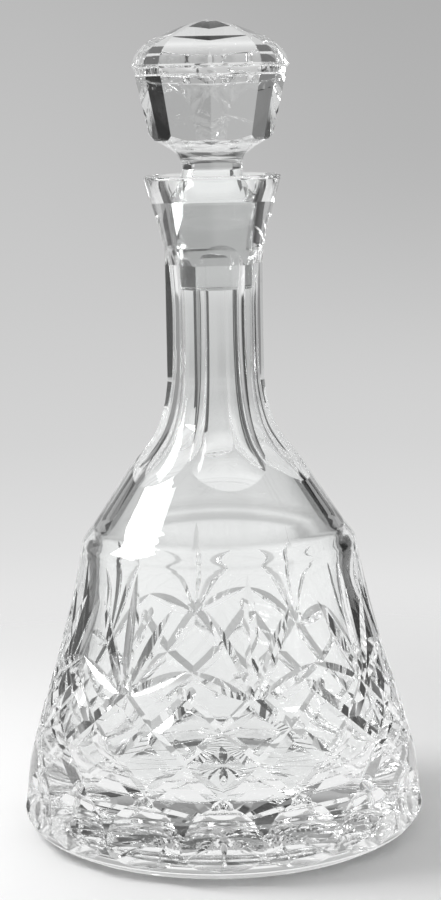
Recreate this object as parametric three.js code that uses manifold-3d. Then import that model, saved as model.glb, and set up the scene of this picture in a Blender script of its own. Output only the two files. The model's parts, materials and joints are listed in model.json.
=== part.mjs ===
// Cut glass spirit decanter: a bell shaped vessel with a flared lip, and a faceted stopper.
// Millimetres, +Z up, origin at the middle of the resting plane, the front faces -Y.
import * as THREE from 'three';
import { mergeVertices } from 'three/addons/utils/BufferGeometryUtils.js';
import Module from 'manifold-3d';

const wasm = await Module();
wasm.setup();

// Driving dimensions of the vessel
const FOOT_R = 60.5;          // outer edge of the flat resting ring
const WIDEST_R = 70.2;      // widest radius, low on the body
const WIDEST_Z = 11;        // height of the widest ring
const RIDGE_R = 48.2;       // body radius under the shoulder ridge
const RIDGE_Z = 99;         // height of the shoulder ridge
const NECK_R = 16.8;        // neck radius before the panels are cut
const LIP_R = 23.3;         // outer radius of the lip
const LIP_Z = 228;          // height of the lip
const BASE_THICK = 21;      // glass under the inside
const HOLLOW_R = 46;        // hollow under the foot

// Driving dimensions of the bore and the plug
const PLUG_LOW_R = 11.7;    // plug radius at its flat bottom
const PLUG_LOW_Z = 189.5;   // height of the plug bottom at rest
const PLUG_TOP_R = 14.9;    // plug radius at the top of the ground taper
const PLUG_TOP_Z = 219.5;   // height of the top of the taper at rest
const GAP = 0.3;            // clearance round the plug

// Driving dimensions of the cut pattern
const AROUND = 16;          // diamonds round the body
const PITCH = 360 / AROUND; // degrees from one diamond to the next
const FAN_TURN = 10.8;      // degrees from the front to the first fan
const ROW_TOP = 59.2;       // height of the upper row of crossings, at the fan bases
const ROW_STEP = 10.25;     // height from one row of crossings to the next
const MITRE_WIDE = 5.2;     // width of a mitre cut at the surface
const MITRE_DEEP = 1.9;     // depth of a mitre cut
const LEAVES = [[-65, 24.5], [-26, 34], [0, 47], [26, 34], [65, 24.5]]; // lean and length
const LEAF_WIDE = 4.8;
const LEAF_DEEP = 1.8;
const PRINT_FLOOR = 65.6;   // distance of a thumbprint's floor from the axis
const PRINT_WIDE = 33;      // hollow radius of a thumbprint from side to side
const PRINT_TALL = 32;      // half the height of the ball that hollows it
const NECK_PANELS = 6;
const NECK_TURN = 6;        // degrees from the front to the middle of a panel
const PANEL_R = 14.9;       // distance of a neck panel from the axis

// Driving dimensions of the stopper
const STEM_R = 10.3;        // waist between plug and head
const HEAD_LOW_Z = 241.6;   // lower edge of the side panels
const HEAD_LOW_R = 22.8;    // corner radius there
const GIRDLE_Z = 264.6;     // sharp upper edge of the girdle
const GIRDLE_R = 28.9;      // corner radius there
const TOP_Z = 279.5;        // top of the dome
const SIDES = 5;

const glass = () => new THREE.MeshStandardMaterial({
  color: 0xe9eeee, roughness: 0.05, metalness: 0, transparent: true, opacity: 0.35,
});
const rad = THREE.MathUtils.degToRad;
const v2 = (r, z) => new THREE.Vector2(r, z);

// Points of a smooth curve through a few guide points
const curve = (guides, steps) => new THREE.SplineCurve(guides.map(([r, z]) => v2(r, z))).getPoints(steps);

// Turned solid about the Z axis from (radius, height) points
function turned(points, segments, turn = 0) {
  const g = new THREE.LatheGeometry(points, segments);
  g.rotateX(Math.PI / 2);
  g.rotateZ(rad(turn));
  return g;
}

// Geometry to solid and back, a geometry that came out inside out is turned
function solid(geometry) {
  const g = geometry.clone();
  g.deleteAttribute('normal');
  g.deleteAttribute('uv');
  const m = mergeVertices(g, 1e-4);
  const build = (triVerts) => new wasm.Manifold(new wasm.Mesh({
    numProp: 3,
    vertProperties: new Float32Array(m.attributes.position.array),
    triVerts,
  }));
  const corners = new Uint32Array(m.index.array);
  const made = build(corners);
  return made.volume() < 0 ? build(corners.slice().reverse()) : made;
}
function toMesh(name, made) {
  const m = made.getMesh();
  const g = new THREE.BufferGeometry();
  g.setAttribute('position', new THREE.BufferAttribute(new Float32Array(m.vertProperties), 3));
  g.setIndex(new THREE.BufferAttribute(new Uint32Array(m.triVerts), 1));
  g.computeVertexNormals();
  const mesh = new THREE.Mesh(g, glass());
  mesh.name = name;
  return mesh;
}

// Outer body radius at a height, used to lay the cuts on the surface
const bellGuides = [[WIDEST_R, WIDEST_Z], [67.4, 27], [62.7, 44], [56.6, 64], [51.6, 83], [RIDGE_R, RIDGE_Z]];
const bell = curve(bellGuides, 6);
function bellRadius(z) {
  for (let i = 1; i < bell.length; i++) {
    const a = bell[i - 1], b = bell[i];
    if (z <= b.y) return a.x + (b.x - a.x) * (z - a.y) / (b.y - a.y);
  }
  return RIDGE_R;
}
const bellPoint = (deg, z, lift = 0) => {
  const r = bellRadius(z) + lift;
  return new THREE.Vector3(r * Math.sin(rad(deg)), -r * Math.cos(rad(deg)), z);
};

// Blank of the vessel, one closed profile from the foot round the lip to the inside floor
function vesselBlank() {
  const heel = curve([[FOOT_R, 0], [66.6, 3.4], [69.6, 7.4], [WIDEST_R, WIDEST_Z]], 4);
  const shoulder = curve([[RIDGE_R, RIDGE_Z], [47.2, 103.2], [43.4, 108.2]], 4);
  const rise = curve([[29.4, 129.6], [24.4, 136.6], [19.9, 147], [17.4, 156], [NECK_R, 166]], 5);
  const lip = [v2(NECK_R, 200), v2(17.6, 206), v2(LIP_R - 0.1, 226.6), v2(LIP_R, 227.3), v2(22.6, LIP_Z),
    v2(19.2, LIP_Z), v2(18.4, 227.3), v2(PLUG_TOP_R + GAP, PLUG_TOP_Z + 0.4)];
  const bore = [v2(PLUG_LOW_R + GAP, PLUG_LOW_Z - 0.4), v2(11.6, 184)];
  const inside = curve([[11.6, 176], [11.9, 166], [13, 154], [15.9, 142], [19.8, 134.6], [25, 127.6]], 5);
  const hall = curve([[39.4, 107.2], [42, 102.2], [42.9, 96], [45, 80], [50, 60], [54.6, 44],
    [56.4, 35], [54, 26.6], [47, BASE_THICK + 1], [36, BASE_THICK]], 8);
  const points = [v2(0, 1.6), v2(HOLLOW_R - 5, 1.2), v2(HOLLOW_R, 0), ...heel, ...bell.slice(1),
    ...shoulder.slice(1), ...rise, ...lip, ...bore, ...inside, ...hall, v2(0, BASE_THICK)];
  return solid(turned(points, 40));
}

// A pointed cut: square spindle lying along Y, its edges down and to the sides
function spindle(length, wide, deep, bow, steps = 4) {
  const points = [];
  for (let i = 0; i <= steps; i++) {
    const t = -1 + 2 * i / steps;
    points.push(v2(i % steps === 0 ? 0 : 1 - Math.abs(t) ** bow, t * length / 2));
  }
  const g = new THREE.LatheGeometry(points, 4);
  g.scale(wide / 2, 1, deep);
  return g;
}
// Lay a cutter on the surface at a point, long side along a direction, Z away from the glass
function laid(geometry, at, along, out) {
  const y = along.clone().normalize();
  const x = y.clone().cross(out).normalize();
  const z = x.clone().cross(y);
  const g = geometry.clone();
  g.applyMatrix4(new THREE.Matrix4().makeBasis(x, y, z).setPosition(at));
  return solid(g);
}
const outward = (deg) => new THREE.Vector3(Math.sin(rad(deg)), -Math.cos(rad(deg)), 0.27);
// Straight cut from one surface point to another
function cutBetween(a, b, deg, geometry) {
  return laid(geometry(a.distanceTo(b)), a.clone().add(b).multiplyScalar(0.5), b.clone().sub(a), outward(deg));
}

// Fans of five leaves, one over every second crossing
function fans() {
  const cuts = [];
  for (let k = 0; k < AROUND / 2; k++) {
    const middle = FAN_TURN + 2 * PITCH * k;
    for (const [lean, length] of LEAVES) {
      const rise = length * Math.cos(rad(lean)) * 0.965;
      const aside = length * Math.sin(rad(lean));
      const z = ROW_TOP + rise;
      const deg = middle + THREE.MathUtils.radToDeg(aside / bellRadius(ROW_TOP + rise / 2));
      cuts.push(cutBetween(bellPoint(middle, ROW_TOP), bellPoint(deg, z), (deg + middle) / 2,
        (len) => spindle(len, LEAF_WIDE, LEAF_DEEP, 2.2)));
    }
  }
  return cuts;
}

// Path of one mitre cut, winding down the body from the top row of crossings
class MitrePath extends THREE.Curve {
  constructor(deg, way) {
    super();
    this.deg = deg;
    this.way = way;
  }
  getPoint(t) {
    const rows = -0.3 + 3.62 * t;
    return bellPoint(this.deg + this.way * PITCH / 2 * rows, ROW_TOP - rows * ROW_STEP, 0.1);
  }
  getPointAt(t) {
    return this.getPoint(t);
  }
  getTangentAt(t) {
    return this.getPoint(t + 0.01).sub(this.getPoint(t - 0.01)).normalize();
  }
  // The cut always faces straight into the body
  computeFrenetFrames(segments) {
    const frames = { tangents: [], normals: [], binormals: [] };
    for (let i = 0; i <= segments; i++) {
      const tangent = this.getTangentAt(i / segments);
      const p = this.getPoint(i / segments);
      const away = new THREE.Vector3(p.x, p.y, 0.27 * Math.hypot(p.x, p.y)).normalize();
      const side = tangent.clone().cross(away).normalize();
      frames.tangents.push(tangent);
      frames.normals.push(side);
      frames.binormals.push(side.clone().cross(tangent).normalize());
    }
    return frames;
  }
}

// Lattice of crossing mitre cuts, rows of diamonds down to the thumbprints
function lattice() {
  const lift = 0.8;
  const half = MITRE_WIDE / 2 * (1 + lift / MITRE_DEEP);
  const vee = new THREE.Shape([v2(0, -MITRE_DEEP), v2(half, lift), v2(-half, lift)]);
  const cuts = [];
  for (let k = 0; k < AROUND; k++) {
    for (const way of [-1, 1]) {
      const extrudePath = new MitrePath(FAN_TURN + PITCH * k, way);
      cuts.push(solid(new THREE.ExtrudeGeometry(vee, { steps: 4, bevelEnabled: false, extrudePath })));
    }
  }
  return cuts;
}

// Rounded thumbprints round the heel, each hollowed by a tall ball beside the body
function thumbprints() {
  const cuts = [];
  for (let k = 0; k < AROUND; k++) {
    const g = new THREE.SphereGeometry(1, 32, 18);
    g.rotateX(Math.PI / 2);
    g.scale(PRINT_WIDE, PRINT_WIDE, PRINT_TALL);
    g.translate(0, -PRINT_FLOOR - PRINT_WIDE, 16);
    g.rotateZ(rad(FAN_TURN + PITCH * (k + 0.5)));
    cuts.push(solid(g));
  }
  return cuts;
}

// Tall panels down the neck, each running out on the shoulder
function neckPanels() {
  const cuts = [];
  const floor = curve([[19.6, 207.5], [16.4, 203.6], [PANEL_R, 198]], 3).concat(
    curve([[PANEL_R, 158], [15.6, 150], [17.7, 142.4], [21.4, 135.6], [26.8, 129.6], [32.8, 124.4]], 5));
  const shape = new THREE.Shape([v2(42, 207.5), ...floor, v2(42, 123)]);
  for (let k = 0; k < NECK_PANELS; k++) {
    const g = new THREE.ExtrudeGeometry(shape, { depth: 36, bevelEnabled: false });
    g.translate(0, 0, -18);
    g.rotateX(Math.PI / 2);
    g.rotateZ(rad(NECK_TURN + 360 / NECK_PANELS * k - 90));
    cuts.push(solid(g));
  }
  return cuts;
}

// Star of rays under the foot
function star() {
  const cuts = [];
  for (let k = 0; k < AROUND; k++) {
    const dir = new THREE.Vector3(Math.sin(rad(PITCH * k)), -Math.cos(rad(PITCH * k)), 0);
    cuts.push(laid(spindle(37, 4.2, 1.5, 2), dir.clone().multiplyScalar(22), dir, new THREE.Vector3(0, 0, -1))
      .translate([0, 0, 1.5]));
  }
  return cuts;
}

function vessel() {
  let body = vesselBlank();
  for (const group of [fans(), lattice(), thumbprints(), neckPanels(), star()]) {
    body = body.subtract(wasm.Manifold.union(group));
  }
  return toMesh('decanter_body', body);
}

// Stopper: a round blank with five tall side panels and five domed top panels
function stopper() {
  const under = curve([[STEM_R, 231], [11.4, 234.4], [15, 237.4], [HEAD_LOW_R + 0.2, HEAD_LOW_Z]], 5);
  const crown = curve([[29.4, GIRDLE_Z + 0.5], [27.6, 268.8], [22.6, 273.4], [12, 277.8]], 5);
  const blank = [v2(0, PLUG_LOW_Z), v2(PLUG_LOW_R - 0.5, PLUG_LOW_Z), v2(PLUG_LOW_R, PLUG_LOW_Z + 0.5),
    v2(PLUG_TOP_R, PLUG_TOP_Z), v2(PLUG_TOP_R - 0.5, PLUG_TOP_Z + 0.9), v2(11.6, 224.4), v2(10.5, 228),
    ...under, v2(27.2, 259), v2(27.5, 263), ...crown, v2(0, TOP_Z + 0.3)];
  const dome = curve([[GIRDLE_R, GIRDLE_Z], [27.4, 268.6], [22.6, 272.9], [12.4, 277]], 6);
  const faceted = [v2(0, 150), v2(HEAD_LOW_R + 0.2375 * (150 - HEAD_LOW_Z) + 40, 150),
    v2(HEAD_LOW_R + 40, 236), v2(HEAD_LOW_R - 0.2375 * 1.6, 240), v2(GIRDLE_R - 0.6, GIRDLE_Z - 0.8),
    ...dome, v2(4, 279.2), v2(0, TOP_Z)];
  const round = solid(turned(blank, 48, 3.75));
  const cut = solid(turned(faceted, SIDES, 0));
  return toMesh('stopper', round.intersect(cut));
}

const group = new THREE.Group();
group.name = 'decanter';
group.add(vessel(), stopper());
export default group;
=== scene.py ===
"""Cut glass decanter and stopper: fine surfaces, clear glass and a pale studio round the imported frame."""
import json
import math

import bmesh
import bpy
import numpy as np
from bpy.props import FloatProperty, FloatVectorProperty, IntProperty, PointerProperty
from mathutils import Matrix, Vector

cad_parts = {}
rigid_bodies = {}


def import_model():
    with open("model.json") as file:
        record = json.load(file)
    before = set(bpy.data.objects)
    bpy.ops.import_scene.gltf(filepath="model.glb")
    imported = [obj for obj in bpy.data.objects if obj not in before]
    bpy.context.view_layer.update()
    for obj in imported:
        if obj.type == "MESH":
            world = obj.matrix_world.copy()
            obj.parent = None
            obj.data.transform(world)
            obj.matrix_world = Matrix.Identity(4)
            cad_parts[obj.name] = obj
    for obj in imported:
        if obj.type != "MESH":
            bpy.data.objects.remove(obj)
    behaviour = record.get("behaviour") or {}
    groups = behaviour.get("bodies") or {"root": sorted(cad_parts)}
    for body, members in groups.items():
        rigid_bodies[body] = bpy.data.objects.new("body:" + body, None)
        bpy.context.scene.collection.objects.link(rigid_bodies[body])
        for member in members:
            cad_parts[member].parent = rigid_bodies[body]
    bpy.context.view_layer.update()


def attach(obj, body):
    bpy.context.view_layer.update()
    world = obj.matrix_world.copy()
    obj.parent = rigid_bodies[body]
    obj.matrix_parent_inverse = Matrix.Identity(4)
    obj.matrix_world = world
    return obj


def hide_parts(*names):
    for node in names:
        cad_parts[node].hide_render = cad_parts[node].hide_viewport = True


bl_info = {
    "name": "Cut Glass Decanter",
    "version": (1, 0, 0),
    "blender": (4, 5, 0),
    "location": "3D View > Sidebar > Decanter",
    "description": "Builds a cut glass decanter, its stopper and a pale studio round the packed frame",
    "category": "Add Mesh",
}

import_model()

MM = 0.001
TURN = 2 * math.pi

# Guide points of turned forms are radius and height in millimetres, the front is at -Y.
# The vessel's outside, from the axis under the foot up to the mouth
FOOT_HOLLOW = [(0, 1.6), (20, 1.5), (41, 1.2), (46, 0)]
HEEL = [(60.5, 0), (66.6, 3.4), (69.6, 7.4), (70.2, 11)]
BELL = [(70.2, 11), (67.4, 27), (62.7, 44), (56.6, 64), (51.6, 83), (48.2, 99)]
RIDGE = [(48.2, 99), (47.2, 103.2), (43.4, 108.2)]
RISE = [(29.4, 129.6), (24.4, 136.6), (19.9, 147), (17.4, 156), (16.8, 166)]
MOUTH = [(16.8, 200), (17.6, 206), (23.2, 226.6)]
RIM = [(23.2, 226.6), (23.25, 227.4), (22.5, 228), (21, 228), (19.6, 228), (18.6, 227.4)]
# Its inside, from the ground socket down to the floor
SOCKET_TOP = (15.2, 219.9)
SOCKET_LOW = (12.0, 189.1)
INNER_NECK = [(11.6, 184), (11.6, 176), (11.9, 166), (13, 154), (15.9, 142), (19.8, 134.6), (25, 127.6)]
HALL = [(38.4, 106.9), (40.8, 104.1), (42.4, 100.8), (43, 97), (45, 80), (50, 60), (54.6, 44),
        (56.4, 35), (54, 26.6), (47, 22), (36, 21), (20, 21), (0, 21)]

# Corners of the stopper's sides at both ends, and how far they lean out per millimetre of height
HEAD_LOW, HEAD_HIGH = (22.8, 241.6), (28.9, 264.6)
HEAD_SLOPE = 0.2375
# The stopper's round blank, from the plug's end to the top
PLUG_END = [(0, 189.5), (11.2, 189.5)]
PLUG_EDGE = [(11.2, 189.5), (11.6, 189.65), (11.72, 190.2)]
WAIST = [(14.86, 219), (14.7, 219.9), (13.6, 220.9), (11.5, 224.2), (10.5, 228), (10.3, 231),
         (11.4, 234.4), (15, 237.4), (HEAD_LOW[0] + 0.2, HEAD_LOW[1])]
GIRDLE = [(27.2, 259), (27.5, 263)]
BLANK_CROWN = [(29.4, 265.1), (27.6, 268.9), (22.6, 273.5), (12, 277.9), (0, 279.9)]
# What the sides and domed top panels leave of the blank
STOPPER_SIDES = 5
BELOW_HEAD = [(0, 150), (60, 150), (60, 236)]
CROWN = [(28.9, 264.6), (27.4, 268.6), (22.6, 272.9), (12.4, 277), (4, 279.2), (0, 279.5)]
# The corners behind the two side panels stand further back than even spacing, as hand cutting leaves them
SIDE_CORNER, SIDE_LEAN = math.radians(108), math.radians(3.4)

# A wheel's wedge stands out of the surface by its lift, and its arc ends that clear of the surface, in mm
WHEEL_LIFT, WHEEL_CLEAR, WHEEL_STEPS = 1.2, 1.0, 20
# Leaves of a fan: lean in degrees, length in mm and share of the middle leaf's width
LEAVES = ((-65, 24.5, 0.84), (-26, 34, 0.9), (0, 47, 1), (26, 34, 0.9), (65, 24.5, 0.84))
LEAF_RISE = 0.965   # share of a leaf's length that counts as height on the leaning body
LEAF_DEPTH = 0.29   # depth of a leaf as a share of its width
# The lattice runs on past its top crossings and down over its rows, then the wheel climbs out
LATTICE_ROWS, LATTICE_OVER, LATTICE_SPARE = 3, 0.34, 0.08
LATTICE_CLIMB, LATTICE_WHEEL = 1.35, 6
MITRE_LIFT, MITRE_STEPS = 1.0, 46
PRINT_LEVEL = 16    # height of the middle of the thumbprints
# Floor of a neck panel above and below its straight stretch, and the block that cuts it
PANEL_TOP = [(19.6, 207.5), (16.4, 203.6)]
PANEL_STRAIGHT = (198, 158)
PANEL_RUN_OUT = [(15.6, 150), (17.7, 142.4), (21.4, 135.6), (26.8, 129.6), (32.8, 124.4)]
PANEL_HALF, PANEL_OUT, PANEL_END = 18, 42, 123
# Star under the foot: level, inner end, the outer ends in turn, width and depth of a ray
STAR_LEVEL, RAY_START, RAY_ENDS, RAY_WIDTH, RAY_DEPTH = 1.4, 1.0, (41, 30), 3.4, 1.1

CRISP = math.radians(14)    # a greater angle between two faces shows as a cut edge
SMOOTH = math.radians(16)   # a greater angle in a profile stays an edge of the turned form
ON_PROFILE = 0.12           # millimetres between a turned face and its profile at most
ALONG_PROFILE = math.radians(5)
CHUNK = 20000               # points measured at a time

# Noise scales of the glass, its bump depth in metres, the dents' height beside the waves' and roughness
WAVES, SMEARS, DENTS = 55.0, 90.0, 170.0
BUMP_DEPTH, DENT_HEIGHT = 0.0004, 2.2
SMEAR_ROUGHNESS, GROUND_ROUGHNESS = 0.012, 0.05
STOPPER_CALM = 0.1          # waves of the stopper beside those of the vessel
PLUG_BAND, RIM_BAND = (189.6, 219.5), (262.0, 264.4)

# The studio as the glass finds it. Turns are angles from straight behind the glass, heights those of
# a direction of length 1, and of two greys the first is on the left or the lower one.
SWEEP_HEIGHTS = (-0.30, 0.10)
SWEEP_GREYS = [(0.0, 0.95), (0.05, 0.94), (0.15, 0.86), (0.26, 0.74), (0.37, 0.66), (0.52, 0.60),
               (0.68, 0.55), (0.84, 0.50), (1.0, 0.46)]
RIGHT_SHADE, RIGHT_HEIGHTS = 0.145, (-0.14, -0.02)
MIDDLE_TURNS = (-0.1, 0.1)
NEAR_FLOOR, NEAR_HEIGHTS = 0.85, (-0.42, -0.27)
FLAG_GREYS, FLAG_HEIGHTS = (0.28, 0.02), (-0.27, -0.20)
FLAG_TURNS = (math.radians(32.3), math.radians(33.3))
OVER_GREYS, OVER_HEIGHTS = (0.30, 0.06), (0.30, 0.38)
ROOM_GREYS, ROOM_HEIGHTS = (0.70, 0.50), (-0.3, 0.1)
ROOM_TURNS = (math.radians(60), math.radians(78))
VIEWER_SHADE, VIEWER_HEIGHTS = 0.38, (0.05, 0.2)
VIEWER_TURNS = (math.radians(120), math.radians(140))

# Dark cards in millimetres: side and grey of each set, then what one set has
CARD_SETS = ((-1, 0.09), (1, 0.05))
BACK_CARDS = ((118, 163, 95, 155), (158, 360, 190, 262))    # inner and outer edge, low and high edge
BACK_CARD_Y, BACK_CARD_SHARE = 255, 0.7
SIDE_CARD_X, SIDE_CARD_Y, SIDE_CARD_TOP = 170, (30, 270), 85
STOPPER_CARD_X, STOPPER_CARD_Y, STOPPER_CARD_Z, STOPPER_CARD_GREY = -60, (-75, 45), (268, 345), 0.42

FLOOR_RADIUS = 900          # millimetres
FLOOR_FADE = (0.16, 0.42)   # metres from the axis where the paper turns into the sweep
GRAIN, GRAIN_STRENGTH, GRAIN_DEPTH = 900.0, 0.03, 0.0002
# Place, width and height of the lamps in metres, and the point that both are aimed at
SOFTBOX = (-0.239, -0.012, 0.270), 0.138, 0.150
PAPER_LAMP = (-0.32, 0.0, 0.335), 0.21, 0.23
LAMP_AIM = Vector((-0.03, -0.02, 0.115))

# Camera fitted to the photograph: sensor in mm, focal length and picture height in pixels, place, angles
SENSOR, FOCAL_PIXELS, PICTURE_PIXELS = 36, 2313, 900
CAMERA_PLACE = (0, -0.790, 0.258)
CAMERA_PITCH, CAMERA_ROLL, CAMERA_YAW = math.radians(8.97), math.radians(-1.07), math.radians(-0.08)


class DecanterSizes(bpy.types.PropertyGroup):
    around: IntProperty(name="Diamonds around", description="Diamonds in each row round the body", default=16)
    fan_turn: FloatProperty(name="Fan turn", description="Turn from the front to the first fan",
                            default=math.radians(10.8), subtype="ANGLE")
    top_row: FloatProperty(name="Top row", description="Height of the crossings that the fans stand on",
                           default=0.0592, subtype="DISTANCE", unit="LENGTH")
    row_step: FloatProperty(name="Row step", default=0.01025, subtype="DISTANCE", unit="LENGTH",
                            description="Height from one row of crossings to the next")
    mitre_width: FloatProperty(name="Mitre width", description="Width of a mitre cut at the surface",
                               default=0.0054, subtype="DISTANCE", unit="LENGTH")
    mitre_depth: FloatProperty(name="Mitre depth", description="Depth of a mitre cut",
                               default=0.0015, subtype="DISTANCE", unit="LENGTH")
    leaf_width: FloatProperty(name="Leaf width", description="Width of a fan's middle leaf",
                              default=0.0050, subtype="DISTANCE", unit="LENGTH")
    print_floor: FloatProperty(name="Print floor", default=0.0656, subtype="DISTANCE", unit="LENGTH",
                               description="Distance of a thumbprint's floor from the axis")
    print_width: FloatProperty(name="Print hollow", default=0.033, subtype="DISTANCE", unit="LENGTH",
                               description="Hollow radius of a thumbprint from side to side")
    print_height: FloatProperty(name="Print length", default=0.032, subtype="DISTANCE", unit="LENGTH",
                                description="Half the height of the ball that hollows it")
    star_rays: IntProperty(name="Star rays", description="Rays of the star under the foot", default=32)
    neck_panels: IntProperty(name="Neck panels", description="Tall panels cut round the neck", default=6)
    neck_turn: FloatProperty(name="Neck turn", default=math.radians(8.5), subtype="ANGLE",
                             description="Turn from the front to the middle of a neck panel")
    panel_floor: FloatProperty(name="Panel floor", description="Distance of a neck panel from the axis",
                               default=0.01455, subtype="DISTANCE", unit="LENGTH")


class GlassLook(bpy.types.PropertyGroup):
    tint: FloatVectorProperty(name="Tint", description="Colour of the clear glass", subtype="COLOR",
                              size=4, default=(0.985, 0.992, 0.99, 1), min=0, max=1)
    ior: FloatProperty(name="IOR", description="Refractive index of the crystal", default=1.54)
    waviness: FloatProperty(name="Waviness", description="Strength of the faint waves in the surface",
                            default=0.05, min=0, max=1)


class StageLook(bpy.types.PropertyGroup):
    softbox: FloatProperty(name="Softbox power", default=0.92, unit="POWER",
                           description="Power of the near lamp on the left, which the glass mirrors")
    paper_lamp: FloatProperty(name="Paper lamp power", default=1.5, unit="POWER",
                              description="Power of the far lamp on the left, which lights the paper")
    sky: FloatProperty(name="Room light", description="Strength of the even light of the room", default=0.68)
    floor: FloatVectorProperty(name="Floor", description="Colour of the pale floor", subtype="COLOR",
                               size=4, default=(0.80, 0.80, 0.80, 1), min=0, max=1)
    # Strength of the painted light pool: a glow on the floor that only the glass shows
    pool: FloatProperty(name="Light pool", description="Level of the floor as the glass shows it",
                        default=0.92)


class Value:
    """A shader socket that Python's operators work on."""

    def __init__(self, sheet, socket):
        self.sheet, self.socket = sheet, socket

    def math(self, operation, *terms):
        return self.sheet.node("ShaderNodeMath", {"operation": operation}, dict(enumerate(terms)))

    def __add__(self, other):
        return self.math("ADD", self, other)

    def __sub__(self, other):
        return self.math("SUBTRACT", self, other)

    def __rsub__(self, other):
        return self.math("SUBTRACT", other, self)

    def __mul__(self, other):
        return self.math("MULTIPLY", self, other)

    __radd__, __rmul__ = __add__, __mul__


class Sheet:
    """The node tree of one material or of the world."""

    def __init__(self, owner):
        owner.use_nodes = True
        self.tree = owner.node_tree
        self.tree.nodes.clear()

    def node(self, kind, settings=None, sockets=None, output=0):
        made = self.tree.nodes.new(kind)
        for key, value in (settings or {}).items():
            if key == "stops":
                ramp = made.color_ramp
                while len(ramp.elements) < len(value):
                    ramp.elements.new(0.5)
                for element, (place, grey) in zip(ramp.elements, value):
                    element.position = place
                    element.color = (grey, grey, grey, 1)
            else:
                setattr(made, key, value)
        for key, value in (sockets or {}).items():
            if isinstance(value, Value):
                self.tree.links.new(value.socket, made.inputs[key])
            else:
                made.inputs[key].default_value = value
        return Value(self, made.outputs[output])

    def close(self, kind, shader):
        out = self.tree.nodes.new(kind)
        self.tree.links.new(shader.socket, out.inputs["Surface"])


def step_up(sheet, value, low, high, shape="SMOOTHSTEP"):
    """0 at low and 1 at high, held beyond them; low may be the greater of the two."""
    return sheet.node("ShaderNodeMapRange", {"clamp": True, "interpolation_type": shape},
                      {"Value": value, 1: low, 2: high, 3: 0.0, 4: 1.0})


def blend(start, end, share):
    """Goes from start to end as the share goes from 0 to 1."""
    return start + (end - start) * share


def noise(sheet, place, scale, detail):
    return sheet.node("ShaderNodeTexNoise", sockets={"Vector": place, "Scale": scale, "Detail": detail})


def cut_glass(name, look, waviness, banded=False):
    """Clear crystal with faint waves, and for the stopper a finely ground plug and a dented rim."""
    material = bpy.data.materials.new(name)
    sheet = Sheet(material)
    place = sheet.node("ShaderNodeTexCoord", output=3)
    relief = noise(sheet, place, WAVES, 1.0) * waviness
    rough = noise(sheet, place, SMEARS, 3.0) * SMEAR_ROUGHNESS
    if banded:
        level = sheet.node("ShaderNodeSeparateXYZ", sockets={"Vector": place}, output=2)
        low, high = RIM_BAND
        rim = (step_up(sheet, level, (low - 0.8) * MM, low * MM)
               * step_up(sheet, level, (high + 0.8) * MM, high * MM))
        relief = relief + noise(sheet, place, DENTS, 1.0) * rim * DENT_HEIGHT
        low, high = PLUG_BAND
        ground = (step_up(sheet, level, high * MM, (high - 1) * MM, "LINEAR")
                  * step_up(sheet, level, low * MM, (low + 0.6) * MM, "LINEAR"))
        rough = rough + ground * GROUND_ROUGHNESS
    bump = sheet.node("ShaderNodeBump", sockets={"Height": relief, "Strength": 1.0, "Distance": BUMP_DEPTH})
    shader = sheet.node("ShaderNodeBsdfPrincipled", sockets={
        "Base Color": tuple(look.tint), "Roughness": rough, "IOR": look.ior,
        "Transmission Weight": 1.0, "Normal": bump})
    sheet.close("ShaderNodeOutputMaterial", shader)
    return material


def curve_through(guides, steps):
    """Points of a smooth curve through guide points."""
    points = []
    last = len(guides) - 1
    for i in range(steps * last + 1):
        k = min(i // steps, last - 1)
        t = i / steps - k
        p0, p1 = guides[max(k - 1, 0)], guides[k]
        p2, p3 = guides[k + 1], guides[min(k + 2, last)]
        point = []
        for a, b, c, d in zip(p0, p1, p2, p3):
            v0, v1 = (c - a) / 2, (d - b) / 2
            cubic, square = 2 * b - 2 * c + v0 + v1, 3 * c - 3 * b - 2 * v0 - v1
            point.append(cubic * t ** 3 + square * t * t + v0 * t + b)
        points.append(tuple(point))
    return points


def straight(a, b, step=4.0):
    """Points from a to b without the ends, so that a long plain stretch keeps even faces."""
    count = max(int(math.dist(a, b) / step), 1)
    return [(a[0] + (b[0] - a[0]) * i / count, a[1] + (b[1] - a[1]) * i / count) for i in range(1, count)]


def chain(*stretches):
    """One profile out of several stretches, joined by straight lines."""
    profile = list(stretches[0])
    for stretch in stretches[1:]:
        if math.dist(profile[-1], stretch[0]) > 0.01:
            profile += straight(profile[-1], stretch[0]) + [stretch[0]]
        profile += stretch[1:]
    return profile


BELL_LINE = curve_through(BELL, 8)


def bell_radius(z):
    """Radius of the uncut body in millimetres at a height."""
    return float(np.interp(z, [p[1] for p in BELL_LINE], [p[0] for p in BELL_LINE]))


def bell_slope(z):
    """How much the body's radius shrinks over the millimetre round a height."""
    return bell_radius(z - 0.5) - bell_radius(z + 0.5)


def bell_point(turn, z):
    r = bell_radius(z)
    return Vector((r * math.sin(turn), -r * math.cos(turn), z))


def bell_out(turn, z):
    """Direction straight out of the body's surface."""
    return Vector((math.sin(turn), -math.cos(turn), bell_slope(z))).normalized()


def spun(points, steps, start=0.0):
    """A turned solid from a profile, its first line at an angle from the front."""
    bm = bmesh.new()
    verts = [bm.verts.new((r * math.sin(start), -r * math.cos(start), z)) for r, z in points]
    edges = [bm.edges.new(pair) for pair in zip(verts, verts[1:])]
    bmesh.ops.spin(bm, geom=verts + edges, cent=(0, 0, 0), axis=(0, 0, 1), angle=TURN, steps=steps,
                   use_merge=True)
    bmesh.ops.remove_doubles(bm, verts=bm.verts, dist=1e-4)
    bmesh.ops.recalc_face_normals(bm, faces=bm.faces)
    return bm


def to_object(bm, name, home=None):
    """Scales a mesh from millimetres to metres and makes it an object."""
    bmesh.ops.scale(bm, vec=(MM, MM, MM), verts=bm.verts)
    mesh = bpy.data.meshes.new(name)
    bm.to_mesh(mesh)
    bm.free()
    made = bpy.data.objects.new(name, mesh)
    (home or bpy.context.scene.collection).objects.link(made)
    return made


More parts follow.
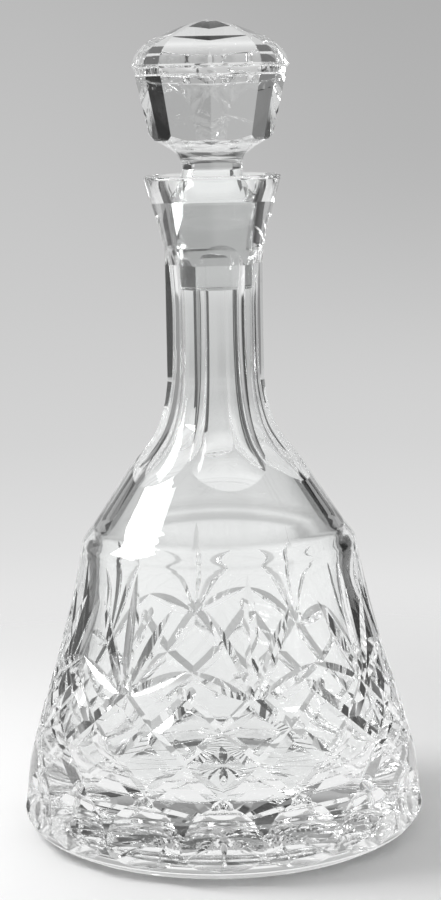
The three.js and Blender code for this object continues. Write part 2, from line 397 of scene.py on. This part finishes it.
def swept_triangle(corners, steps, **spin):
    """A closed wedge: one triangle carried round an axis."""
    bm = bmesh.new()
    face = bm.faces.new([bm.verts.new(c) for c in corners])
    bmesh.ops.spin(bm, geom=list(face.verts) + list(face.edges) + [face], steps=steps, **spin)
    bmesh.ops.recalc_face_normals(bm, faces=bm.faces)
    return bm


def wheel_cut(home, name, ends, middle, out, width, depth):
    """What a V-edged wheel takes off between two points of the surface."""
    start, end = ends
    chord = end - start
    y = chord.normalized()
    x = y.cross(out).normalized()
    z = x.cross(y)
    bulge = (middle - (start + end) / 2).dot(z)
    bite = depth - bulge
    half = chord.length / 2
    wheel = (half * half + bite * bite) / (2 * bite)
    reach = math.acos(1 - (depth + WHEEL_CLEAR) / wheel)
    flank = width / 2 * (depth + WHEEL_LIFT) / depth
    rim = wheel - depth - WHEEL_LIFT
    swing = Matrix.Rotation(-reach, 3, "X")
    corners = [swing @ Vector(c) for c in ((0, 0, -wheel), (flank, 0, -rim), (-flank, 0, -rim))]
    bm = swept_triangle(corners, WHEEL_STEPS, cent=(0, 0, 0), axis=(1, 0, 0), angle=2 * reach)
    place = Matrix((x, y, z)).transposed().to_4x4()
    place.translation = middle + z * (wheel - depth)
    bmesh.ops.transform(bm, matrix=place, verts=bm.verts)
    return to_object(bm, name, home)


def cut_fans(home, sizes):
    """Fans of five leaves, one over every second crossing."""
    pitch, foot = TURN / sizes.around, sizes.top_row / MM
    for k in range(sizes.around // 2):
        turn = sizes.fan_turn + 2 * pitch * k
        for lean, length, share in LEAVES:
            rise = length * math.cos(math.radians(lean)) * LEAF_RISE
            aside = length * math.sin(math.radians(lean)) / bell_radius(foot + rise / 2)
            width = sizes.leaf_width / MM * share
            middle = (turn + aside / 2, foot + rise / 2)
            wheel_cut(home, "fan_leaf", (bell_point(turn, foot), bell_point(turn + aside, foot + rise)),
                      bell_point(*middle), bell_out(*middle), width, width * LEAF_DEPTH)


def cut_lattice(home, sizes):
    """Mitre cuts that wind down the body both ways and leave rows of diamonds."""
    pitch, top, step = TURN / sizes.around, sizes.top_row / MM, sizes.row_step / MM
    deep = sizes.mitre_depth / MM
    slant = math.atan2(step, bell_radius(top - LATTICE_ROWS / 2 * step) * pitch / 2)
    flank = sizes.mitre_width / MM / 2 * (deep + MITRE_LIFT) / deep / math.cos(slant)
    first = top + LATTICE_OVER * step
    radius = bell_radius(first)
    rows = LATTICE_OVER + LATTICE_ROWS + LATTICE_OVER
    for k in range(sizes.around):
        for way in (-1, 1):
            turn = sizes.fan_turn + pitch * k - way * pitch / 2 * LATTICE_OVER
            ring = [(radius - deep, 0), (radius + MITRE_LIFT, flank), (radius + MITRE_LIFT, -flank)]
            corners = [(r * math.sin(turn), -r * math.cos(turn), first + z) for r, z in ring]
            bm = swept_triangle(corners, MITRE_STEPS, cent=(0, 0, 0), axis=(0, 0, 1),
                                angle=way * pitch / 2 * rows, dvec=(0, 0, -rows * step / MITRE_STEPS))
            for v in bm.verts:
                angle = (math.atan2(v.co.x, -v.co.y) - turn) * way
                angle = (angle + math.pi) % TURN - math.pi
                down = angle / (pitch / 2) - LATTICE_OVER
                line = top - down * step
                outside = max(-down, down - LATTICE_ROWS) - LATTICE_SPARE
                outside = max(outside, 0) * step * LATTICE_CLIMB
                r = math.hypot(v.co.x, v.co.y)
                moved = r + bell_radius(line) - radius + outside * outside / LATTICE_WHEEL
                moved -= (v.co.z - line) * bell_slope(line)
                v.co.x *= moved / r
                v.co.y *= moved / r
            to_object(bm, "mitre", home)


def cut_thumbprints(home, sizes):
    """Rounded thumbprints round the heel, each hollowed by a tall ball beside the body."""
    wide, tall, floor = sizes.print_width / MM, sizes.print_height / MM, sizes.print_floor / MM
    for k in range(sizes.around):
        turn = sizes.fan_turn + TURN / sizes.around * (k + 0.5)
        bm = bmesh.new()
        bmesh.ops.create_uvsphere(bm, u_segments=128, v_segments=64, radius=1)
        bmesh.ops.scale(bm, vec=(wide, wide, tall), verts=bm.verts)
        bmesh.ops.translate(bm, vec=(0, -floor - wide, PRINT_LEVEL), verts=bm.verts)
        bmesh.ops.rotate(bm, cent=(0, 0, 0), matrix=Matrix.Rotation(turn, 3, "Z"), verts=bm.verts)
        to_object(bm, "thumbprint", home)


def cut_neck(home, sizes):
    """Tall panels down the neck, each running out on the shoulder."""
    flat = sizes.panel_floor / MM
    high, low = PANEL_STRAIGHT
    floor = chain(curve_through(PANEL_TOP + [(flat, high)], 6), [(flat, low)],
                  curve_through([(flat, low)] + PANEL_RUN_OUT, 8))
    outline = [(PANEL_OUT, PANEL_TOP[0][1])] + floor + [(PANEL_OUT, PANEL_END)]
    for k in range(sizes.neck_panels):
        bm = bmesh.new()
        face = bm.faces.new([bm.verts.new((-PANEL_HALF, -r, z)) for r, z in outline])
        carried = bmesh.ops.extrude_face_region(bm, geom=[face], use_keep_orig=True)["geom"]
        bmesh.ops.translate(bm, vec=(2 * PANEL_HALF, 0, 0),
                            verts=[v for v in carried if isinstance(v, bmesh.types.BMVert)])
        turn = sizes.neck_turn + TURN / sizes.neck_panels * k
        bmesh.ops.rotate(bm, cent=(0, 0, 0), verts=bm.verts, matrix=Matrix.Rotation(turn, 3, "Z"))
        bmesh.ops.recalc_face_normals(bm, faces=bm.faces)
        to_object(bm, "neck_panel", home)


def cut_star(home, sizes):
    """Star of rays under the foot, every second one shorter."""
    centre = Vector((0, 0, STAR_LEVEL))
    for k in range(sizes.star_rays):
        turn = TURN / sizes.star_rays * k
        way = Vector((math.sin(turn), -math.cos(turn), 0))
        reach = RAY_ENDS[k % 2]
        wheel_cut(home, "star_ray", (centre + way * RAY_START, centre + way * reach),
                  centre + way * (reach + RAY_START) / 2, Vector((0, 0, -1)), RAY_WIDTH, RAY_DEPTH)


def boolean(target, operation, cutters):
    """Cuts or keeps what a collection of solids covers, and leaves one finished mesh."""
    tool = target.modifiers.new("cut", "BOOLEAN")
    tool.operation = operation
    tool.operand_type = "COLLECTION"
    tool.collection = cutters
    tool.solver = "MANIFOLD"
    graph = bpy.context.evaluated_depsgraph_get()
    mesh = bpy.data.meshes.new_from_object(target.evaluated_get(graph), depsgraph=graph)
    target.modifiers.clear()
    target.data = mesh
    for used in list(cutters.objects):
        bpy.data.objects.remove(used)
    bpy.data.collections.remove(cutters)


class Profile:
    """The straight pieces of a profile with smooth normals, to shade a turned surface as if it were exact."""

    def __init__(self, points):
        line = np.array(points, float)
        self.a, self.b = line[:-1], line[1:]
        along = self.b - self.a
        self.length = np.linalg.norm(along, axis=1)
        normal = np.stack([along[:, 1], -along[:, 0]], 1) / self.length[:, None]
        self.na, self.nb = normal.copy(), normal.copy()
        for i in range(len(normal) - 1):
            if normal[i] @ normal[i + 1] > math.cos(SMOOTH):
                mean = normal[i] * self.length[i + 1] + normal[i + 1] * self.length[i]
                self.nb[i] = self.na[i + 1] = mean / np.linalg.norm(mean)

    def at(self, places):
        """Distance to the profile and its normal, for rows of radius and height."""
        along = self.b - self.a
        far, normals = [], []
        for part in np.array_split(places, max(len(places) // CHUNK, 1)):
            offset = part[:, None, :] - self.a[None]
            t = np.clip((offset * along[None]).sum(2) / self.length[None] ** 2, 0, 1)
            gap = np.linalg.norm(offset - along[None] * t[:, :, None], axis=2)
            best = gap.argmin(1)
            row = np.arange(len(part))
            share = t[row, best][:, None]
            n = self.na[best] * (1 - share) + self.nb[best] * share
            far.append(gap[row, best])
            normals.append(n / np.linalg.norm(n, axis=1)[:, None])
        return np.concatenate(far), np.concatenate(normals)


def mesh_rows(items, key, width=3):
    """One attribute of all items of a mesh, as rows of numbers."""
    values = np.zeros(len(items) * width)
    items.foreach_get(key, values)
    return values.reshape(-1, width)


def shade_turned(made, points):
    """Crisp cut edges, and exact smooth normals on what is left of the turned surface."""
    mesh = made.data
    mesh.shade_smooth()
    mesh.set_sharp_from_angle(angle=CRISP)
    centres = mesh_rows(mesh.polygons, "center") / MM
    faces = mesh_rows(mesh.polygons, "normal")
    profile = Profile(points)

    def normals_at(spots):
        r = np.linalg.norm(spots[:, :2], axis=1)
        far, n = profile.at(np.stack([r, spots[:, 2]], 1))
        side = spots[:, :2] / np.maximum(r, 1e-6)[:, None]
        return far, np.concatenate([side * n[:, :1], n[:, 1:]], 1)

    far, wanted = normals_at(centres)
    turned = (far < ON_PROFILE) & ((wanted * faces).sum(1) > math.cos(ALONG_PROFILE))
    corners, totals = np.zeros(len(mesh.loops), np.int32), np.zeros(len(mesh.polygons), np.int32)
    mesh.loops.foreach_get("vertex_index", corners)
    mesh.polygons.foreach_get("loop_total", totals)
    owner = np.repeat(np.arange(len(totals)), totals)
    places = mesh_rows(mesh.vertices, "co")[corners] / MM
    normals = mesh_rows(mesh.corner_normals, "vector")
    ours = turned[owner]
    # Each corner is read a little inside its face, so that an edge of the profile stays crisp
    probe = places[ours] + (centres[owner[ours]] - places[ours]) * 0.02
    normals[ours] = normals_at(probe)[1]
    mesh.normals_split_custom_set([tuple(n) for n in normals])


def vessel_profile():
    return chain(curve_through(FOOT_HOLLOW, 3), curve_through(HEEL, 6), BELL_LINE, curve_through(RIDGE, 6),
                 curve_through(RISE, 7), curve_through(MOUTH, 6), curve_through(RIM, 2), [SOCKET_TOP],
                 [SOCKET_LOW], curve_through(INNER_NECK, 5), curve_through(HALL, 5))


def stopper_profile():
    return chain(PLUG_END, curve_through(PLUG_EDGE, 3), curve_through(WAIST, 5), GIRDLE,
                 curve_through(BLANK_CROWN, 6))


def finish_glass(made, points, material):
    shade_turned(made, points)
    made.data.materials.clear()
    made.data.materials.append(material)


def settle(piece, body, node):
    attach(piece, body)
    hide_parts(node)


class DECANTER_OT_vessel(bpy.types.Operator):
    """Turn the vessel, cut its fans, diamonds, thumbprints, neck panels and star, and give it its glass"""
    bl_idname = "decanter.vessel"
    bl_label = "Build vessel"

    def execute(self, context):
        sizes, look = context.scene.decanter_sizes, context.scene.decanter_glass
        points = vessel_profile()
        vessel = to_object(spun(points, 144), "vessel_glass")
        cutters = bpy.data.collections.new("cuts")
        context.scene.collection.children.link(cutters)
        for cut in (cut_fans, cut_lattice, cut_thumbprints, cut_neck, cut_star):
            cut(cutters, sizes)
        boolean(vessel, "DIFFERENCE", cutters)
        finish_glass(vessel, points, cut_glass("vessel crystal", look, look.waviness))
        settle(vessel, "vessel", "decanter_body")
        return {"FINISHED"}


class DECANTER_OT_stopper(bpy.types.Operator):
    """Turn the stopper, cut its five sides and domed top panels, and give it its glass"""
    bl_idname = "decanter.stopper"
    bl_label = "Build stopper"

    def execute(self, context):
        look = context.scene.decanter_glass
        points = stopper_profile()
        stopper = to_object(spun(points, 120), "stopper_glass")
        low_r, low_z = HEAD_LOW
        high_r, high_z = HEAD_HIGH
        # The sides run on below their corners, and a small bevel ends them under the crown
        faceted = BELOW_HEAD + [(low_r - HEAD_SLOPE * 1.6, low_z - 1.6), (high_r - 0.6, high_z - 0.8)]
        sides = spun(faceted + curve_through(CROWN, 6), STOPPER_SIDES, math.pi)
        for v in sides.verts:
            turn = math.atan2(v.co.x, -v.co.y)
            if math.isclose(abs(turn), SIDE_CORNER, abs_tol=math.radians(8)):
                bmesh.ops.rotate(sides, cent=(0, 0, 0), verts=[v],
                                 matrix=Matrix.Rotation(math.copysign(SIDE_LEAN, turn), 3, "Z"))
        keep = bpy.data.collections.new("keep")
        context.scene.collection.children.link(keep)
        to_object(sides, "stopper_sides", keep)
        boolean(stopper, "INTERSECT", keep)
        finish_glass(stopper, points, cut_glass("stopper crystal", look, look.waviness * STOPPER_CALM, True))
        settle(stopper, "stopper_lifted", "stopper")
        return {"FINISHED"}


def backdrop(sheet, up, right):
    """Sweep behind the glass: mid grey high up, darker there on its right, near white towards the floor."""
    level = step_up(sheet, up, *SWEEP_HEIGHTS, "LINEAR")
    shade = 1 - RIGHT_SHADE * right * step_up(sheet, up, *RIGHT_HEIGHTS)
    return shade * sheet.node("ShaderNodeValToRGB", {"stops": SWEEP_GREYS}, {"Fac": level})


def studio(sheet, turn, up, right):
    """What the glass finds: the sweep, dark flags at its sides and over it, and a grey room in front."""
    wide = turn.math("ABSOLUTE", turn)
    sweep = backdrop(sheet, up, right) * blend(NEAR_FLOOR, 1, step_up(sheet, up, *NEAR_HEIGHTS))
    flags = step_up(sheet, wide, *FLAG_TURNS) * step_up(sheet, up, *FLAG_HEIGHTS)
    sweep = blend(sweep, blend(*FLAG_GREYS, right), flags)
    sweep = blend(sweep, blend(*OVER_GREYS, right), step_up(sheet, up, *OVER_HEIGHTS))
    viewer = step_up(sheet, wide, *VIEWER_TURNS) * step_up(sheet, up, *VIEWER_HEIGHTS)
    room = blend(*ROOM_GREYS, step_up(sheet, up, *ROOM_HEIGHTS)) - VIEWER_SHADE * viewer
    return blend(sweep, room, step_up(sheet, wide, *ROOM_TURNS))


def ray_kinds(sheet):
    """Two switches: 1 for rays straight from the camera, and 1 for those that glass mirrors or bends."""
    rays = sheet.tree.nodes.new("ShaderNodeLightPath")
    direct, mirror, through = (Value(sheet, rays.outputs[n])
                               for n in ("Is Camera Ray", "Is Glossy Ray", "Is Transmission Ray"))
    return direct, mirror.math("MAXIMUM", mirror, through)


def set_world(scene, look):
    """Even light for the paper, the sweep for the camera, and the studio for what the glass shows."""
    world = bpy.data.worlds.new("studio")
    scene.world = world
    sheet = Sheet(world)
    place = sheet.node("ShaderNodeTexCoord", output=0)
    across, along, up = (sheet.node("ShaderNodeSeparateXYZ", sockets={"Vector": place}, output=n)
                         for n in range(3))
    turn = across.math("ARCTAN2", across, along)
    right = step_up(sheet, turn, *MIDDLE_TURNS)
    direct, bent = ray_kinds(sheet)
    levels = (((1, 1, 1, 1), look.sky), (backdrop(sheet, up, right), 1.0),
              (studio(sheet, turn, up, right), 1.0))
    plain, sweep, found = (sheet.node("ShaderNodeBackground", sockets={"Color": colour, "Strength": strength})
                           for colour, strength in levels)
    lit = sheet.node("ShaderNodeMixShader", sockets={0: bent, 1: plain, 2: found})
    both = sheet.node("ShaderNodeMixShader", sockets={0: direct, 1: lit, 2: sweep})
    sheet.close("ShaderNodeOutputWorld", both)


def lay_floor(look):
    """Round sheet of pale paper that fades into the sweep, and that the glass shows with a painted glow."""
    bm = bmesh.new()
    bmesh.ops.create_circle(bm, cap_ends=True, segments=96, radius=FLOOR_RADIUS)
    floor = to_object(bm, "floor")
    material = bpy.data.materials.new("floor paper")
    sheet = Sheet(material)
    place = sheet.node("ShaderNodeTexCoord", output=3)
    away = sheet.node("ShaderNodeVectorMath", {"operation": "LENGTH"}, {0: place}, output=1)
    fade = step_up(sheet, away, *FLOOR_FADE)
    bump = sheet.node("ShaderNodeBump", sockets={"Height": noise(sheet, place, GRAIN, 2.0),
                                                 "Strength": GRAIN_STRENGTH, "Distance": GRAIN_DEPTH})
    paper = sheet.node("ShaderNodeBsdfDiffuse", sockets={"Color": tuple(look.floor), "Normal": bump})
    # Painted light pool: through the glass the paper shows an even glow in place of the bright pool that
    # light gathered by the glass leaves on it
    painted_glow = sheet.node("ShaderNodeEmission", sockets={"Color": (1, 1, 1, 1), "Strength": look.pool})
    paper_or_painted_glow = sheet.node("ShaderNodeMixShader", sockets={0: ray_kinds(sheet)[1], 1: paper, 2: painted_glow})
    clear = sheet.node("ShaderNodeBsdfTransparent")
    mixed = sheet.node("ShaderNodeMixShader", sockets={0: fade, 1: paper_or_painted_glow, 2: clear})
    sheet.close("ShaderNodeOutputMaterial", mixed)
    floor.data.materials.append(material)


def card(name, start, end, low, high, grey):
    """An upright studio card that only the glass mirrors and bends, kept out of every picture."""
    bm = bmesh.new()
    bm.faces.new([bm.verts.new(c) for c in ((*start, low), (*end, low), (*end, high), (*start, high))])
    made = to_object(bm, name)
    material = bpy.data.materials.new(name)
    sheet = Sheet(material)
    shader = sheet.node("ShaderNodeEmission", sockets={"Color": (grey, grey, grey, 1), "Strength": 1.0})
    sheet.close("ShaderNodeOutputMaterial", shader)
    made.data.materials.append(material)
    made.visible_camera = made.visible_diffuse = made.visible_shadow = False


def stand_cards():
    """Dark cards behind and beside the glass, and a grey one between softbox and stopper."""
    for side, grey in CARD_SETS:
        for near, far, low, high in BACK_CARDS:
            card("back_card", (side * near, BACK_CARD_Y), (side * far, BACK_CARD_Y), low, high,
                 grey * BACK_CARD_SHARE)
        start, end = ((side * SIDE_CARD_X, y) for y in SIDE_CARD_Y)
        card("side_card", start, end, 0, SIDE_CARD_TOP, grey)
    start, end = ((STOPPER_CARD_X, y) for y in STOPPER_CARD_Y)
    card("stopper_card", start, end, *STOPPER_CARD_Z, STOPPER_CARD_GREY)


def hang_lamps(scene, look):
    """The near softbox is what the glass mirrors, the far lamp lights the paper."""
    for name, (place, wide, tall), power in (("softbox", SOFTBOX, look.softbox),
                                             ("paper_lamp", PAPER_LAMP, look.paper_lamp)):
        lamp = bpy.data.lights.new(name, "AREA")
        lamp.shape, lamp.size, lamp.size_y = "RECTANGLE", wide, tall
        lamp.energy = power
        box = bpy.data.objects.new(name, lamp)
        scene.collection.objects.link(box)
        box.location = place
        box.rotation_euler = (LAMP_AIM - box.location).to_track_quat("-Z", "Y").to_euler()
        box.visible_diffuse = name == "paper_lamp"
        box.visible_glossy = box.visible_transmission = name == "softbox"


def set_camera(scene):
    lens = bpy.data.cameras.new("camera")
    lens.sensor_fit = "AUTO"
    lens.sensor_width = SENSOR
    lens.lens = SENSOR * FOCAL_PIXELS / PICTURE_PIXELS
    lens.clip_start, lens.clip_end = 0.01, 50
    camera = bpy.data.objects.new("camera", lens)
    scene.collection.objects.link(camera)
    camera.matrix_world = (Matrix.Translation(CAMERA_PLACE) @ Matrix.Rotation(CAMERA_YAW, 4, "Z")
                           @ Matrix.Rotation(math.pi / 2 - CAMERA_PITCH, 4, "X")
                           @ Matrix.Rotation(CAMERA_ROLL, 4, "Z"))
    scene.camera = camera


class DECANTER_OT_stage(bpy.types.Operator):
    """Pale floor and sweep, dark cards, two lamps and the camera"""
    bl_idname = "decanter.stage"
    bl_label = "Build stage"

    def execute(self, context):
        scene, look = context.scene, context.scene.decanter_stage
        set_world(scene, look)
        lay_floor(look)
        stand_cards()
        hang_lamps(scene, look)
        set_camera(scene)
        scene.view_settings.view_transform = "Standard"
        # Light is turned back many times inside cut crystal before it leaves
        scene.cycles.max_bounces = 40
        scene.cycles.glossy_bounces = 32
        scene.cycles.transmission_bounces = 32
        return {"FINISHED"}


class DECANTER_PT_panel(bpy.types.Panel):
    """Lists the steps that build the decanter"""
    bl_idname = "DECANTER_PT_panel"
    bl_label = "Cut Glass Decanter"
    bl_space_type = "VIEW_3D"
    bl_region_type = "UI"
    bl_category = "Decanter"

    def draw(self, context):
        scene = context.scene
        for step in STEPS:
            self.layout.operator(step.bl_idname)
        for group in (scene.decanter_sizes, scene.decanter_glass, scene.decanter_stage):
            for name in group.__annotations__:
                self.layout.prop(group, name)


STEPS = (DECANTER_OT_vessel, DECANTER_OT_stopper, DECANTER_OT_stage)
CLASSES = (DecanterSizes, GlassLook, StageLook) + STEPS + (DECANTER_PT_panel,)


def register():
    for cls in CLASSES:
        bpy.utils.register_class(cls)
    bpy.types.Scene.decanter_sizes = PointerProperty(type=DecanterSizes)
    bpy.types.Scene.decanter_glass = PointerProperty(type=GlassLook)
    bpy.types.Scene.decanter_stage = PointerProperty(type=StageLook)


def unregister():
    del bpy.types.Scene.decanter_stage, bpy.types.Scene.decanter_glass, bpy.types.Scene.decanter_sizes
    for cls in reversed(CLASSES):
        bpy.utils.unregister_class(cls)


def main():
    register()
    bpy.ops.decanter.vessel()
    bpy.ops.decanter.stopper()
    bpy.ops.decanter.stage()


if __name__ == "__main__":
    main()
